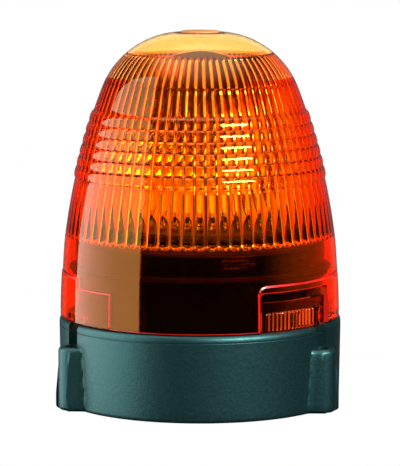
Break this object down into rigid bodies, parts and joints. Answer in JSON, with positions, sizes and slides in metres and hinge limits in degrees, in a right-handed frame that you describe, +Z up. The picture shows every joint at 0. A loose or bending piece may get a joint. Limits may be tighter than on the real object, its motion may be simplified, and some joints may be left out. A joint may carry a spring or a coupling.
{
  "type": "rotating warning beacon",
  "caption": "Amber rotating warning beacon: black screw-down base, fluted bayonet lens, motor-driven turning reflector and upright halogen lamp.",
  "frame": {"origin": "centre of the mounting face, on the spin axis", "axes": "+Z up through the lens, -Y towards the front, the rear fixing lug at +Y"},
  "size_m": [0.1298, 0.1363, 0.17],
  "materials": {
    "amber": "clear amber, polished",
    "black_nylon": "moulded",
    "black_wire": "moulded insulation",
    "brass": "plain",
    "grey_nylon": "moulded",
    "housing": "fine spark texture",
    "mirror": "vacuum metallised",
    "quartz": "clear",
    "red_wire": "moulded insulation",
    "rubber": "matt",
    "tungsten": "dull",
    "white_acetal": "moulded",
    "zinc_steel": "bright zinc plated"
  },
  "bodies": {
    "base": {"base_plate": "black_nylon", "cable_grommet": "rubber", "chassis_plate": "zinc_steel", "chassis_screw_1": "zinc_steel", "chassis_screw_2": "zinc_steel", "chassis_screw_3": "zinc_steel", "column_screw_1": "zinc_steel", "column_screw_2": "zinc_steel", "column_screw_3": "zinc_steel", "housing": "housing", "idler_axle": "zinc_steel", "idler_clip": "zinc_steel", "lamp_base": "zinc_steel", "lamp_column": "black_nylon", "lamp_filament": "tungsten", "lamp_glass": "quartz", "lamp_lead_earth": "black_wire", "lamp_lead_live": "red_wire", "lamp_socket": "white_acetal", "motor_can": "zinc_steel", "motor_end_cap": "black_nylon", "motor_lead_earth": "black_wire", "motor_lead_live": "red_wire", "motor_screw_1": "zinc_steel", "motor_screw_2": "zinc_steel", "mounting_pad": "rubber", "plate_screw_1": "zinc_steel", "plate_screw_2": "zinc_steel", "plate_screw_3": "zinc_steel", "rotor_clip": "zinc_steel", "terminal_block": "grey_nylon", "terminal_screw_1": "brass", "terminal_screw_2": "brass", "terminal_screw_3": "brass"},
    "rotor": {"drive_gear": "white_acetal", "rotor_bush": "brass", "turntable": "black_nylon", "turntable_screw_1": "zinc_steel", "turntable_screw_2": "zinc_steel", "turntable_screw_3": "zinc_steel", "reflector": "mirror", "reflector_bracket": "zinc_steel", "foot_screw_1": "zinc_steel", "foot_screw_2": "zinc_steel", "reflector_screw_1": "zinc_steel", "reflector_screw_2": "zinc_steel"},
    "idler": {"idler_gear": "white_acetal"},
    "motor_rotor": {"motor_armature": "tungsten", "motor_pinion": "brass"},
    "seal": {"lens_seal": "rubber"},
    "lens": {"lens": "amber"},
    "latch": {"lens_latch": "amber"},
    "clip": {"lamp_clip": "zinc_steel"}
  },
  "joints": [
    {"name": "rotor_spin", "type": "hinge", "parent": "base", "child": "rotor", "pos_m": [0, 0, 0.07], "axis": [0, 0, 1], "continuous": true},
    {"name": "idler_spin", "type": "hinge", "parent": "base", "child": "idler", "pos_m": [0, 0.028, 0.062], "axis": [0, 0, 1], "continuous": true},
    {"name": "motor_spin", "type": "hinge", "parent": "base", "child": "motor_rotor", "pos_m": [-0.02096, 0.02927, 0.045], "axis": [0, 0, 1], "continuous": true},
    {"name": "lens_turn", "type": "hinge", "parent": "base", "child": "seal", "pos_m": [0, 0, 0.06], "axis": [0, 0, 1], "range_deg": [0, 14]},
    {"name": "lens_lift", "type": "slide", "parent": "seal", "child": "lens", "axis": [0, 0, 1], "range_m": [0, 0.13]},
    {"name": "latch_press", "type": "hinge", "parent": "lens", "child": "latch", "pos_m": [0.02943, -0.0557, 0.046], "axis": [0, 0, 1], "range_deg": [0, 2.6], "stiffness_Nm_per_rad": 1},
    {"name": "clip_swing", "type": "hinge", "parent": "base", "child": "clip", "pos_m": [0, 0.0084, 0.0966], "axis": [-1, 0, 0], "range_deg": [0, 85]}
  ],
  "couplings": [
    {"joint": "idler_spin", "follows": "rotor_spin", "ratio": -3.6667},
    {"joint": "motor_spin", "follows": "rotor_spin", "ratio": 9.1667}
  ]
}
